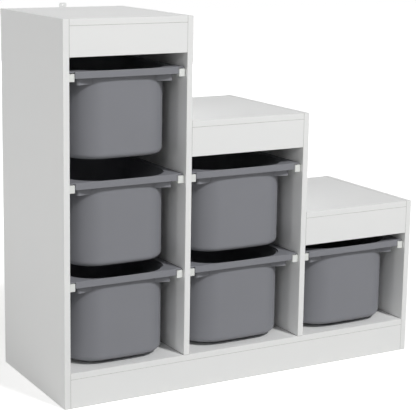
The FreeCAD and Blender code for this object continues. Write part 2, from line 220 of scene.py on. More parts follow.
def plated_steel():
    """Steel tumbled and zinc plated: bright, with small bruises from the drum."""
    material, tree = new_material("plated_steel")
    place = add(tree, "ShaderNodeTexCoord")["Object"]
    bruise = add(tree, "ShaderNodeTexVoronoi", {"Vector": place, "Scale": per_mm(1.1)})[0]
    tint = add(tree, "ShaderNodeTexNoise", {"Vector": place, "Scale": per_mm(3), "Detail": 2.0})[0]
    colour = add(tree, "ShaderNodeMix", data_type="RGBA", inputs={
        "Factor": tint, FIRST: linear("#bfc2c6"), SECOND: linear("#cbcccb")})[MIXED]
    rough = add(tree, "ShaderNodeMapRange", {
        "Value": bruise, "From Max": 0.6, "To Min": 0.4, "To Max": 0.26})[0]
    bump = add(tree, "ShaderNodeBump", {"Height": bruise, "Strength": 0.2, "Distance": 0.03 * MM})[0]
    shader = add(tree, "ShaderNodeBsdfPrincipled", {
        "Base Color": colour, "Roughness": rough, "Normal": bump, "Metallic": 1.0})[0]
    add(tree, "ShaderNodeOutputMaterial", {0: shader})
    return material


def bare_beech():
    """Beech turned on a lathe and left bare: pale brown with short dark flecks."""
    material, tree = new_material("bare_beech")
    place = add(tree, "ShaderNodeTexCoord")["Object"]
    drawn = add(tree, "ShaderNodeVectorMath", {0: place, 1: (0.15, 1, 1)}, operation="MULTIPLY")[0]
    fleck = add(tree, "ShaderNodeTexNoise", {"Vector": drawn, "Scale": per_mm(0.8), "Detail": 3.0})[0]
    share = add(tree, "ShaderNodeMapRange", {"Value": fleck, "From Min": 0.4, "From Max": 0.7})[0]
    colour = add(tree, "ShaderNodeMix", data_type="RGBA", inputs={
        "Factor": share, FIRST: linear("#cfa778"), SECOND: linear("#ab7f52")})[MIXED]
    bump = add(tree, "ShaderNodeBump", {"Height": fleck, "Strength": 0.3, "Distance": 0.08 * MM})[0]
    shader = add(tree, "ShaderNodeBsdfPrincipled", {
        "Base Color": colour, "Roughness": 0.7, "Normal": bump})[0]
    add(tree, "ShaderNodeOutputMaterial", {0: shader})
    return material


def powder_coat():
    """Steel strip sprayed with powder and baked: off-white satin with a pebbled skin."""
    material, tree = new_material("white_powder_coat")
    place = add(tree, "ShaderNodeTexCoord")["Object"]
    pebble = add(tree, "ShaderNodeTexNoise", {"Vector": place, "Scale": per_mm(0.8), "Detail": 1.0})[0]
    colour = add(tree, "ShaderNodeMix", data_type="RGBA", inputs={
        "Factor": pebble, FIRST: linear("#dcdddc"), SECOND: linear("#e4e5e4")})[MIXED]
    rough = add(tree, "ShaderNodeMapRange", {
        "Value": pebble, "From Min": 0.3, "From Max": 0.7, "To Min": 0.35, "To Max": 0.5})[0]
    bump = add(tree, "ShaderNodeBump", {"Height": pebble, "Strength": 0.5, "Distance": 0.05 * MM})[0]
    shader = add(tree, "ShaderNodeBsdfPrincipled", {
        "Base Color": colour, "Roughness": rough, "Normal": bump})[0]
    add(tree, "ShaderNodeOutputMaterial", {0: shader})
    return material


# Shape trees

# Inputs of the trees that aren't lengths
KINDS = {"Seats": "Geometry", "Place": "Vector", "Material": "Material"}
SHARP_DEGREES = 32


def new_tree(name, labels):
    """Shape tree with named inputs and one output, and the sockets of its inputs."""
    tree = bpy.data.node_groups.new(name, "GeometryNodeTree")
    for label in labels:
        kind = KINDS.get(label, "Float")
        tree.interface.new_socket(label, in_out="INPUT", socket_type="NodeSocket" + kind)
    tree.interface.new_socket("Shape", in_out="OUTPUT", socket_type="NodeSocketGeometry")
    return tree, add(tree, "NodeGroupInput")


def smoothed(tree, shape):
    """Smooth faces that keep their sharp corners."""
    smooth = add(tree, "GeometryNodeSetShadeSmooth", {"Geometry": shape, "Shade Smooth": True},
                 domain="FACE")[0]
    angle = add(tree, "GeometryNodeInputMeshEdgeAngle")[0]
    sharp = add(tree, "FunctionNodeCompare", {0: angle, 1: math.radians(SHARP_DEGREES)},
                operation="GREATER_THAN")[0]
    return add(tree, "GeometryNodeSetShadeSmooth",
               {"Geometry": smooth, "Selection": sharp, "Shade Smooth": False}, domain="EDGE")[0]


def close_tree(tree, shape, material):
    """Ends a tree as one plain mesh of one material."""
    real = add(tree, "GeometryNodeRealizeInstances", {"Geometry": shape})[0]
    done = add(tree, "GeometryNodeSetMaterial", {"Geometry": real, "Material": material})[0]
    add(tree, "NodeGroupOutput", {0: done})


def made_piece(name, tree, values, seats=()):
    """Runs a shape tree with its inputs set, on seats if it has them, and keeps the result as a mesh."""
    start = bpy.data.meshes.new(name + "_seats")
    start.from_pydata([spot for spot, facing, toward in seats], [], [])
    for label, column in (("facing", 1), ("toward", 2)):
        layer = start.attributes.new(label, "FLOAT_VECTOR", "POINT")
        layer.data.foreach_set("vector", [value for seat in seats for value in seat[column]])
    host = bpy.data.objects.new(name + "_seats", start)
    bpy.context.scene.collection.objects.link(host)
    modifier = host.modifiers.new("shape", "NODES")
    modifier.node_group = tree
    for item in tree.interface.items_tree:
        if item.name in values:
            modifier[item.identifier] = values[item.name]
    host.modifiers.new("normals", "WEIGHTED_NORMAL").keep_sharp = True
    mesh = bpy.data.meshes.new_from_object(host.evaluated_get(bpy.context.evaluated_depsgraph_get()))
    bpy.data.objects.remove(host)
    # The tree leaves an empty slot before its material
    mesh.materials.clear()
    mesh.materials.append(values["Material"])
    mesh.name = name
    piece = bpy.data.objects.new(name, mesh)
    bpy.context.scene.collection.objects.link(piece)
    return piece


# Moulded bins. A bin is drawn with the middle of its plan at x = y = 0 and the rails' tops at z = 0.
# Gaps are to the rails or the uprights, and setbacks from the outer faces of the lips.

WALL = 2.5
RISE = 4.5
RAIL_WIDTH = 16.3
FLANGE_WALL_GAP = 3.0
FLANGE_SETBACK = 3.5
FLANGE_REST_GAP = 0.3
LIP_RAIL_GAP = 1.0
BODY_RAIL_GAP = 8.1
BODY_SETBACK = 11.0
MOUTH_RAIL_GAP = 6.2
MOUTH_SETBACK = 3.0
RIM_ROUND = 1.0
WEB_INSET = 2.0
WEB_LEAD = 1.5
FOOT_INSET = 24.0
FOOT_RECESS = 0.8
# How far what cuts a bin reaches past it, the mouth a little further than the rest
OVERSHOOT = 5.0
MOUTH_OVERSHOOT = 6.0
# Faces of joined pieces that would lie in one plane are kept this far apart
STEP = 0.05


def tub_tree():
    """Block with round corners, bowed ends, leaning sides and a filleted foot: a grid bent round its plan."""
    tree, size = new_tree("tub_block", ["Half Width", "Top Half Width", "Half Length", "Corner Radius",
                                        "Bow Radius", "Bottom", "Top", "Fillet"])
    around, corner_points, fillet_rows, wall_rows = 200, 24, 8, 8
    ring_width, weld = 2.0, 0.005
    # Rows of the grid: the middle of the foot, a flat ring, the fillet, the wall and the middle of the top
    arc_start = 2
    arc_end = arc_start + fillet_rows
    last = arc_end + wall_rows + 1
    width = add(tree, "ShaderNodeMath", {0: size["Half Width"], 1: 2.0}, operation="MULTIPLY")[0]
    length = add(tree, "ShaderNodeMath", {0: size["Half Length"], 1: 2.0}, operation="MULTIPLY")[0]
    plan = add(tree, "GeometryNodeCurvePrimitiveQuadrilateral", {"Width": width, "Height": length})[0]
    plan = add(tree, "GeometryNodeFilletCurve",
               {"Curve": plan, "Count": corner_points, "Radius": size["Corner Radius"]}, mode="POLY")[0]
    grid = add(tree, "GeometryNodeMeshGrid", {"Size X": 1.0, "Size Y": float(last),
                                              "Vertices X": around + 1, "Vertices Y": last + 1})[0]
    spot = add(tree, "ShaderNodeSeparateXYZ", {0: add(tree, "GeometryNodeInputPosition")[0]})
    turn = add(tree, "ShaderNodeMath", {0: spot[0], 1: 0.5}, operation="ADD")[0]
    row = add(tree, "ShaderNodeMath", {0: spot[1], 1: last / 2}, operation="ADD")[0]
    outline = add(tree, "GeometryNodeSampleCurve", {"Curves": plan, "Factor": turn},
                  mode="FACTOR", use_all_curves=True)
    outward = add(tree, "ShaderNodeVectorMath", {0: outline["Tangent"], 1: (0, 0, 1)},
                  operation="CROSS_PRODUCT")[0]
    # Fillet: the rows go a quarter turn up, from the flat ring just inside the foot to the wall
    angle = add(tree, "ShaderNodeMapRange", {
        "Value": row, "From Min": arc_start, "From Max": arc_end, "To Max": math.pi / 2})[0]
    sine = add(tree, "ShaderNodeMath", {0: angle}, operation="SINE")[0]
    cosine = add(tree, "ShaderNodeMath", {0: angle}, operation="COSINE")[0]
    short_sine = add(tree, "ShaderNodeMath", {0: 1.0, 1: sine}, operation="SUBTRACT")[0]
    short_cosine = add(tree, "ShaderNodeMath", {0: 1.0, 1: cosine}, operation="SUBTRACT")[0]
    on_ring = add(tree, "FunctionNodeCompare", {0: row, 1: arc_start - 0.5}, operation="LESS_THAN")[0]
    ring = add(tree, "ShaderNodeMath", {0: on_ring, 1: ring_width * MM}, operation="MULTIPLY")[0]
    inset = add(tree, "ShaderNodeMath", {0: size["Fillet"], 1: short_sine, 2: ring},
                operation="MULTIPLY_ADD")[0]
    # Wall: its rows lie closer together near the fillet
    climb = add(tree, "ShaderNodeMapRange", {"Value": row, "From Min": arc_end, "From Max": last - 1})[0]
    climb = add(tree, "ShaderNodeMath", {0: climb, 1: climb}, operation="MULTIPLY")[0]
    tall = add(tree, "ShaderNodeMath", {0: size["Top"], 1: size["Bottom"]}, operation="SUBTRACT")[0]
    straight = add(tree, "ShaderNodeMath", {0: tall, 1: size["Fillet"]}, operation="SUBTRACT")[0]
    foot = add(tree, "ShaderNodeMath", {0: size["Fillet"], 1: short_cosine, 2: size["Bottom"]},
               operation="MULTIPLY_ADD")[0]
    height = add(tree, "ShaderNodeMath", {0: climb, 1: straight, 2: foot}, operation="MULTIPLY_ADD")[0]
    # The first and last rows close up to a point in the middle
    left_over = add(tree, "ShaderNodeMath", {0: float(last), 1: row}, operation="SUBTRACT")[0]
    from_end = add(tree, "ShaderNodeMath", {0: row, 1: left_over}, operation="MINIMUM")[0]
    kept = add(tree, "FunctionNodeCompare", {0: from_end, 1: 0.5}, operation="GREATER_THAN")[0]
    inward = add(tree, "ShaderNodeMath", {0: inset, 1: -1.0}, operation="MULTIPLY")[0]
    shift = add(tree, "ShaderNodeVectorMath", {0: outward, "Scale": inward}, operation="SCALE")[0]
    place = add(tree, "ShaderNodeVectorMath", {0: outline["Position"], 1: shift}, operation="ADD")[0]
    place = add(tree, "ShaderNodeVectorMath", {0: place, "Scale": kept}, operation="SCALE")[0]
    flat = add(tree, "ShaderNodeSeparateXYZ", {0: place})
    # Bowed ends: the length falls off with the square of the distance from the middle
    square = add(tree, "ShaderNodeMath", {0: flat[0], 1: flat[0]}, operation="MULTIPLY")[0]
    span = add(tree, "ShaderNodeMath", {0: length, 1: size["Bow Radius"]}, operation="MULTIPLY")[0]
    fall = add(tree, "ShaderNodeMath", {0: square, 1: span}, operation="DIVIDE")[0]
    stay = add(tree, "ShaderNodeMath", {0: 1.0, 1: fall}, operation="SUBTRACT")[0]
    bowed = add(tree, "ShaderNodeMath", {0: flat[1], 1: stay}, operation="MULTIPLY")[0]
    # Leaning sides: the width grows evenly from the fillet to the top
    spread = add(tree, "ShaderNodeMath", {0: size["Top Half Width"], 1: size["Half Width"]},
                 operation="DIVIDE")[0]
    growth = add(tree, "ShaderNodeMapRange", {"Value": climb, "To Min": 1.0, "To Max": spread})[0]
    leaning = add(tree, "ShaderNodeMath", {0: flat[0], 1: growth}, operation="MULTIPLY")[0]
    final = add(tree, "ShaderNodeCombineXYZ", {0: leaning, 1: bowed, 2: height})[0]
    block = add(tree, "GeometryNodeSetPosition", {"Geometry": grid, "Position": final})[0]
    block = add(tree, "GeometryNodeMergeByDistance", {"Geometry": block, "Distance": weld * MM})[0]
    add(tree, "NodeGroupOutput", {0: block})
    return tree


def plate_tree():
    """Plate with all its edges rounded: a cube's outer rings of points are bent round its edges."""
    tree, size = new_tree("rounded_plate", ["Half Width", "Half Length", "Bottom", "Top", "Round"])
    points = 8
    cube = add(tree, "GeometryNodeMeshCube", {
        "Size": (2, 2, 2), "Vertices X": points, "Vertices Y": points, "Vertices Z": points})[0]
    spot = add(tree, "GeometryNodeInputPosition")[0]
    side = add(tree, "ShaderNodeVectorMath", {0: spot}, operation="SIGN")[0]
    reach = add(tree, "ShaderNodeVectorMath", {0: spot}, operation="ABSOLUTE")[0]
    # 0 at the two middle points of an edge, 1 at its ends
    stretch = (points - 1) / (points - 2)
    bend = add(tree, "ShaderNodeVectorMath", {0: reach, 1: (stretch,) * 3, 2: (1 - stretch,) * 3},
               operation="MULTIPLY_ADD")[0]
    bend = add(tree, "ShaderNodeVectorMath", {0: side, 1: bend}, operation="MULTIPLY")[0]
    outward = add(tree, "ShaderNodeVectorMath", {0: bend}, operation="NORMALIZE")[0]
    round_off = add(tree, "ShaderNodeVectorMath", {0: outward, "Scale": size["Round"]}, operation="SCALE")[0]
    tall = add(tree, "ShaderNodeMath", {0: size["Top"], 1: size["Bottom"]}, operation="SUBTRACT")[0]
    half_tall = add(tree, "ShaderNodeMath", {0: tall, 1: 0.5}, operation="MULTIPLY")[0]
    middle = add(tree, "ShaderNodeMath", {0: half_tall, 1: size["Bottom"]}, operation="ADD")[0]
    half = add(tree, "ShaderNodeCombineXYZ", {0: size["Half Width"], 1: size["Half Length"], 2: half_tall})[0]
    core = add(tree, "ShaderNodeVectorMath", {0: half, 1: size["Round"]}, operation="SUBTRACT")[0]
    place = add(tree, "ShaderNodeVectorMath", {0: side, 1: core, 2: round_off}, operation="MULTIPLY_ADD")[0]
    lift = add(tree, "ShaderNodeCombineXYZ", {2: middle})[0]
    plate = add(tree, "GeometryNodeSetPosition", {"Geometry": cube, "Position": place, "Offset": lift})[0]
    add(tree, "NodeGroupOutput", {0: plate})
    return tree


def gusset_tree():
    """Web under the rim that squares off a round corner: an oblique leg, a bend and a side leg."""
    tree, size = new_tree("gusset_web", ["Corner X", "Corner Y", "Run", "Slope", "Side", "Bottom", "Top",
                                         "Wall", "Round"])
    bend_points = 8
    inner_x = add(tree, "ShaderNodeMath", {0: size["Corner X"], 1: size["Run"]}, operation="SUBTRACT")[0]
    inner_y = add(tree, "ShaderNodeMath", {0: size["Corner Y"], 1: size["Slope"]}, operation="ADD")[0]
    side_y = add(tree, "ShaderNodeMath", {0: size["Corner Y"], 1: size["Side"]}, operation="ADD")[0]
    inner = add(tree, "ShaderNodeCombineXYZ", {0: inner_x, 1: inner_y})[0]
    corner = add(tree, "ShaderNodeCombineXYZ", {0: size["Corner X"], 1: size["Corner Y"]})[0]
    side = add(tree, "ShaderNodeCombineXYZ", {0: size["Corner X"], 1: side_y})[0]
    # This node gets a third choice before anything is linked to it
    pick = tree.nodes.new("GeometryNodeIndexSwitch")
    pick.data_type = "VECTOR"
    pick.index_switch_items.new()
    for key, source in enumerate([add(tree, "GeometryNodeInputIndex")[0], inner, corner, side]):
        tree.links.new(source, pick.inputs[key])
    points = add(tree, "GeometryNodePoints", {"Count": 3, "Position": pick.outputs[0]})[0]
    path = add(tree, "GeometryNodePointsToCurves", {"Points": points})[0]
    path = add(tree, "GeometryNodeFilletCurve", {
        "Curve": path, "Count": bend_points, "Radius": size["Round"]}, mode="POLY")[0]
    path = add(tree, "GeometryNodeSetCurveNormal", {"Curve": path}, mode="Z_UP")[0]
    # On the way round, the section's x points out of the corner and its y points down
    inside = add(tree, "ShaderNodeMath", {0: size["Wall"], 1: -1.0}, operation="MULTIPLY")[0]
    upper = add(tree, "ShaderNodeMath", {0: size["Top"], 1: -1.0}, operation="MULTIPLY")[0]
    lower = add(tree, "ShaderNodeMath", {0: size["Bottom"], 1: -1.0}, operation="MULTIPLY")[0]
    section = add(tree, "GeometryNodeCurvePrimitiveQuadrilateral", {
        "Point 1": add(tree, "ShaderNodeCombineXYZ", {1: upper})[0],
        "Point 2": add(tree, "ShaderNodeCombineXYZ", {1: lower})[0],
        "Point 3": add(tree, "ShaderNodeCombineXYZ", {0: inside, 1: lower})[0],
        "Point 4": add(tree, "ShaderNodeCombineXYZ", {0: inside, 1: upper})[0]}, mode="POINTS")[0]
    web = add(tree, "GeometryNodeCurveToMesh",
              {"Curve": path, "Profile Curve": section, "Fill Caps": True})[0]
    add(tree, "NodeGroupOutput", {0: web})
    return tree


def bin_tree():
    """Rim, lips, gussets and body joined, then hollowed."""
    tree, size = new_tree("moulded_bin", [
        "Half Width", "Half Length", "Floor", "Rise", "Corner Radius", "Bow Radius", "Bottom Fillet",
        "Lip Foot", "Gusset Foot", "Gusset Run", "Gusset Slope", "Gusset Side", "Gusset Round",
        "Place", "Material"])
    tub, plate, gusset = tub_tree(), plate_tree(), gusset_tree()
    reach = {"corner": size["Corner Radius"], "fillet": size["Bottom Fillet"], "floor": size["Floor"],
             "flare_foot": size["Gusset Foot"], "rail_top": 0.0, "none": 0.0, "collar_foot": -WALL * MM,
             "flare_top": STEP * MM}
    for name, base, less in [
        ("flange_x", "Half Width", FLANGE_WALL_GAP),
        ("flange_y", "Half Length", FLANGE_SETBACK),
        ("channel_x", "Half Width", FLANGE_WALL_GAP + WALL),
        ("lip_x", "Half Width", RAIL_WIDTH + LIP_RAIL_GAP),
        ("lip_y", "Half Length", WALL / 2),
        ("tie_x", "Half Width", RAIL_WIDTH + LIP_RAIL_GAP + RIM_ROUND),
        ("tie_y", "Half Length", RIM_ROUND),
        ("body_x", "Half Width", RAIL_WIDTH + BODY_RAIL_GAP),
        ("body_y", "Half Length", BODY_SETBACK),
        ("hollow_x", "Half Width", RAIL_WIDTH + BODY_RAIL_GAP + WALL),
        ("hollow_y", "Half Length", BODY_SETBACK + WALL),
        ("mouth_x", "Half Width", RAIL_WIDTH + MOUTH_RAIL_GAP),
        ("mouth_y", "Half Length", MOUTH_SETBACK),
        ("collar_x", "Half Width", RAIL_WIDTH + MOUTH_RAIL_GAP - WALL),
        ("collar_y", "Half Length", MOUTH_SETBACK - WALL),
        ("web_x", "Half Width", RAIL_WIDTH + BODY_RAIL_GAP + WEB_INSET),
        ("web_y", "Half Length", BODY_SETBACK - WEB_LEAD),
        ("foot_x", "Half Width", RAIL_WIDTH + BODY_RAIL_GAP + FOOT_INSET),
        ("foot_y", "Half Length", BODY_SETBACK + FOOT_INSET),
        ("small_corner", "Corner Radius", WALL),
        ("large_corner", "Corner Radius", -WALL),
        ("foot_corner", "Corner Radius", FOOT_INSET),
        ("small_fillet", "Bottom Fillet", WALL),
        ("deck", "Rise", WALL),
        ("collar_top", "Rise", STEP),
        ("over", "Rise", -OVERSHOOT),
        ("mouth_top", "Rise", -MOUTH_OVERSHOOT),
        ("inner_floor", "Floor", -WALL),
        ("below", "Floor", OVERSHOOT),
        ("foot_top", "Floor", -FOOT_RECESS),
        ("shoulder_foot", "Gusset Foot", WALL),
    ]:
        reach[name] = add(tree, "ShaderNodeMath", {0: size[base], 1: less * MM}, operation="SUBTRACT")[0]
    blocks = {}
    for name, x, top_x, y, corner, bottom, top, fillet in [
        ("body", "body_x", "body_x", "body_y", "corner", "floor", "rail_top", "fillet"),
        ("shoulder", "body_x", "collar_x", "body_y", "corner", "shoulder_foot", "rail_top", "none"),
        ("collar", "collar_x", "collar_x", "collar_y", "large_corner", "collar_foot", "collar_top", "none"),
        ("hollow", "hollow_x", "hollow_x", "hollow_y", "small_corner", "inner_floor", "over", "small_fillet"),
        ("flare", "hollow_x", "mouth_x", "hollow_y", "small_corner", "flare_foot", "flare_top", "none"),
        ("mouth", "mouth_x", "mouth_x", "mouth_y", "corner", "rail_top", "mouth_top", "none"),
        ("foot", "foot_x", "foot_x", "foot_y", "foot_corner", "below", "foot_top", "none"),
    ]:
        blocks[name] = add(tree, "GeometryNodeGroup", {
            "Half Width": reach[x], "Top Half Width": reach[top_x], "Half Length": reach[y],
            "Corner Radius": reach[corner], "Bow Radius": size["Bow Radius"], "Bottom": reach[bottom],
            "Top": reach[top], "Fillet": reach[fillet]}, node_tree=tub)[0]
    for name, x, y, bottom, top in [
        ("deck", reach["flange_x"], reach["flange_y"], FLANGE_REST_GAP * MM, size["Rise"]),
        ("channel", reach["channel_x"], size["Half Length"], -WALL * MM, reach["deck"]),
        ("tie", reach["tie_x"], reach["tie_y"], reach["deck"], reach["collar_top"]),
        ("lip", reach["lip_x"], WALL / 2 * MM, size["Lip Foot"], size["Rise"]),
    ]:
        blocks[name] = add(tree, "GeometryNodeGroup", {
            "Half Width": x, "Half Length": y, "Bottom": bottom, "Top": top, "Round": RIM_ROUND * MM},
            node_tree=plate)[0]
    front_y = add(tree, "ShaderNodeMath", {0: reach["web_y"], 1: -1.0}, operation="MULTIPLY")[0]
    web = add(tree, "GeometryNodeGroup", {
        "Corner X": reach["web_x"], "Corner Y": front_y, "Run": size["Gusset Run"],
        "Slope": size["Gusset Slope"], "Side": size["Gusset Side"], "Bottom": size["Gusset Foot"],
        "Top": reach["deck"], "Wall": WALL * MM, "Round": size["Gusset Round"]}, node_tree=gusset)[0]
    mirrored = add(tree, "GeometryNodeTransform", {"Geometry": web, "Scale": (-1, 1, 1)})[0]
    mirrored = add(tree, "GeometryNodeFlipFaces", {"Mesh": mirrored})[0]
    front_webs = add(tree, "GeometryNodeJoinGeometry", {0: [web, mirrored]})[0]
    lip_place = add(tree, "ShaderNodeCombineXYZ", {1: reach["lip_y"]})[0]
    rear_lip = add(tree, "GeometryNodeTransform", {"Geometry": blocks["lip"], "Translation": lip_place})[0]
    half_turn = (0, 0, math.pi)
    front_lip = add(tree, "GeometryNodeTransform", {"Geometry": rear_lip, "Rotation": half_turn})[0]
    rear_webs = add(tree, "GeometryNodeTransform", {"Geometry": front_webs, "Rotation": half_turn})[0]
    rim = add(tree, "GeometryNodeMeshBoolean", {"Mesh 1": blocks["deck"], "Mesh 2": blocks["channel"]},
              operation="DIFFERENCE", solver="MANIFOLD")[0]
    outside = add(tree, "GeometryNodeMeshBoolean", {
        "Mesh 2": [blocks["body"], blocks["shoulder"], blocks["collar"], rim, blocks["tie"],
                   front_lip, rear_lip, front_webs, rear_webs]}, operation="UNION", solver="MANIFOLD")[0]
    shell = add(tree, "GeometryNodeMeshBoolean", {
        "Mesh 1": outside, "Mesh 2": [blocks["hollow"], blocks["flare"], blocks["mouth"], blocks["foot"]]},
        operation="DIFFERENCE", solver="MANIFOLD")[0]
    placed = add(tree, "GeometryNodeTransform",
                 {"Geometry": smoothed(tree, shell), "Translation": size["Place"]})[0]
    close_tree(tree, placed, size["Material"])
    return tree


def make_bins():
    """One mesh for each bin, in the place and size of the bin that it stands for."""
    tree = bin_tree()
    material = grey_polypropylene()
    sizes = {"Rise": RISE, "Corner Radius": 69.0, "Bow Radius": 1100.0, "Bottom Fillet": 12.0,
             "Lip Foot": -11.3, "Gusset Foot": -27.0, "Gusset Run": 42.0, "Gusset Slope": 10.5,
             "Gusset Side": 60.0, "Gusset Round": 6.0}
    for name in [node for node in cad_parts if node.endswith("_bin")]:
        low, high = (Vector(corner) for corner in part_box(name))
        middle = (low + high) / 2
        rail_top = high.z - RISE * MM
        values = {label: size * MM for label, size in sizes.items()}
        values["Half Width"] = (high.x - low.x) / 2 + FLANGE_WALL_GAP * MM
        values["Half Length"] = (high.y - low.y) / 2
        values["Floor"] = low.z - rail_top
        values["Place"] = (middle.x, middle.y, rail_top)
        values["Material"] = material
        piece = made_piece(name + "_moulding", tree, values)
        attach(piece, name)
        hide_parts(name)


# Fasteners. Each is drawn with the middle of its visible face at the origin and +Z out of that face.

CAM_SETBACK = 24.0
CAM_EDGE_INSET = 60.0
STRIP_CAM_INSET = 22.0
RAIL_SCREW_INSET = 50.0
RAIL_SCREW_SHIFT = 8.0


def seat_shapes(tree, size, shape):
    """One shape on each seat, turned to its two directions."""
    facing, toward = (
        add(tree, "GeometryNodeInputNamedAttribute", {"Name": label}, data_type="FLOAT_VECTOR")[0]
        for label in ("facing", "toward"))
    turn = add(tree, "FunctionNodeAxesToRotation", {0: facing, 1: toward},
               primary_axis="Z", secondary_axis="X")[0]
    points = add(tree, "GeometryNodeMeshToPoints", {"Mesh": size["Seats"]})[0]
    placed = add(tree, "GeometryNodeInstanceOnPoints", {
        "Points": points, "Instance": smoothed(tree, shape), "Rotation": turn})[0]
    close_tree(tree, placed, size["Material"])


def screw_tree():
    """Countersunk screws with a slot across the head."""
    tree, size = new_tree("countersunk_screws", [
        "Seats", "Head Radius", "Head Height", "Shank Radius", "Length", "Slot Width", "Slot Depth",
        "Material"])
    around = 32
    # Shares of the head: how deep in it the shank starts, and the slot's length, which runs out past its rim
    shank_share, slot_share = 0.7, 2.5
    head = add(tree, "GeometryNodeMeshCone", {
        "Vertices": around, "Radius Top": size["Head Radius"], "Radius Bottom": size["Shank Radius"],
        "Depth": size["Head Height"]})[0]
    down = add(tree, "ShaderNodeMath", {0: size["Head Height"], 1: -1.0}, operation="MULTIPLY")[0]
    head = add(tree, "GeometryNodeTransform", {
        "Geometry": head, "Translation": add(tree, "ShaderNodeCombineXYZ", {2: down})[0]})[0]
    shank_top = add(tree, "ShaderNodeMath", {0: size["Head Height"], 1: -shank_share},
                    operation="MULTIPLY")[0]
    long = add(tree, "ShaderNodeMath", {0: size["Length"], 1: shank_top}, operation="ADD")[0]
    shank = add(tree, "GeometryNodeMeshCylinder", {
        "Vertices": around, "Radius": size["Shank Radius"], "Depth": long})[0]
    middle = add(tree, "ShaderNodeMath", {0: long, 1: -0.5, 2: shank_top}, operation="MULTIPLY_ADD")[0]
    shank = add(tree, "GeometryNodeTransform", {
        "Geometry": shank, "Translation": add(tree, "ShaderNodeCombineXYZ", {2: middle})[0]})[0]
    across = add(tree, "ShaderNodeMath", {0: size["Head Radius"], 1: slot_share}, operation="MULTIPLY")[0]
    deep = add(tree, "ShaderNodeMath", {0: size["Slot Depth"], 1: 2.0}, operation="MULTIPLY")[0]
    slot_size = add(tree, "ShaderNodeCombineXYZ", {0: across, 1: size["Slot Width"], 2: deep})[0]
    slot = add(tree, "GeometryNodeMeshCube", {"Size": slot_size})[0]
    whole = add(tree, "GeometryNodeMeshBoolean", {"Mesh 2": [head, shank]},
                operation="UNION", solver="MANIFOLD")[0]
    screw = add(tree, "GeometryNodeMeshBoolean", {"Mesh 1": whole, "Mesh 2": slot},
                operation="DIFFERENCE", solver="MANIFOLD")[0]
    seat_shapes(tree, size, screw)
    return tree


def cam_tree():
    """Cam discs with a cross slot, a pointer dimple and a tunnel for the bolt's head."""
    tree, size = new_tree("cam_discs", [
        "Seats", "Radius", "Height", "Slot Length", "Slot Width", "Slot Depth", "Tunnel Radius",
        "Tunnel Depth", "Tunnel Back", "Material"])
    around, tunnel_around = 48, 32
    # The pointer's place is a share of the radius, and its size comes from the slot
    pointer_share, pointer_scale = 0.78, (0.7, 0.7, 0.4)
    disc = add(tree, "GeometryNodeMeshCylinder", {
        "Vertices": around, "Radius": size["Radius"], "Depth": size["Height"]})[0]
    down = add(tree, "ShaderNodeMath", {0: size["Height"], 1: -0.5}, operation="MULTIPLY")[0]
    disc = add(tree, "GeometryNodeTransform", {
        "Geometry": disc, "Translation": add(tree, "ShaderNodeCombineXYZ", {2: down})[0]})[0]
    deep = add(tree, "ShaderNodeMath", {0: size["Slot Depth"], 1: 2.0}, operation="MULTIPLY")[0]
    slot_size = add(tree, "ShaderNodeCombineXYZ", {
        0: size["Slot Length"], 1: size["Slot Width"], 2: deep})[0]
    slot = add(tree, "GeometryNodeMeshCube", {"Size": slot_size})[0]
    cross_slot = add(tree, "GeometryNodeTransform", {"Geometry": slot, "Rotation": (0, 0, math.pi / 2)})[0]
    pointer = add(tree, "GeometryNodeMeshCylinder", {
        "Vertices": 3, "Radius": size["Slot Width"], "Depth": deep})[0]
    pointer_x = add(tree, "ShaderNodeMath", {0: size["Radius"], 1: pointer_share}, operation="MULTIPLY")[0]
    pointer = add(tree, "GeometryNodeTransform", {
        "Geometry": pointer, "Scale": pointer_scale,
        "Translation": add(tree, "ShaderNodeCombineXYZ", {0: pointer_x})[0]})[0]
    tunnel_long = add(tree, "ShaderNodeMath", {0: size["Radius"], 1: 2.0}, operation="MULTIPLY")[0]
    tunnel = add(tree, "GeometryNodeMeshCylinder", {
        "Vertices": tunnel_around, "Radius": size["Tunnel Radius"], "Depth": tunnel_long})[0]
    tunnel_x = add(tree, "ShaderNodeMath", {0: size["Radius"], 1: size["Tunnel Back"]},
                   operation="SUBTRACT")[0]
    tunnel_z = add(tree, "ShaderNodeMath", {0: size["Tunnel Depth"], 1: -1.0}, operation="MULTIPLY")[0]
    tunnel = add(tree, "GeometryNodeTransform", {
        "Geometry": tunnel, "Rotation": (0, math.pi / 2, 0),
        "Translation": add(tree, "ShaderNodeCombineXYZ", {0: tunnel_x, 2: tunnel_z})[0]})[0]
    cam = add(tree, "GeometryNodeMeshBoolean", {
        "Mesh 1": disc, "Mesh 2": [slot, cross_slot, pointer, tunnel]},
        operation="DIFFERENCE", solver="MANIFOLD")[0]
    seat_shapes(tree, size, cam)
    return tree


def screw_seats():
    """Two screws through each rail, staggered so that the screws of two columns miss each other."""
    seats = []
    for name in [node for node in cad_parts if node.endswith("_rail")]:
        low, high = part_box(name)
        on_left = name.endswith("_left_rail")
        face = high[0] if on_left else low[0]
        out = 1 if on_left else -1
        for y in (low[1] + RAIL_SCREW_INSET * MM, high[1] - RAIL_SCREW_INSET * MM):
            spot = (face, y + out * RAIL_SCREW_SHIFT * MM, (low[2] + high[2]) / 2)
            seats.append((spot, (out, 0, 0), (0, 0, 1)))
    return seats


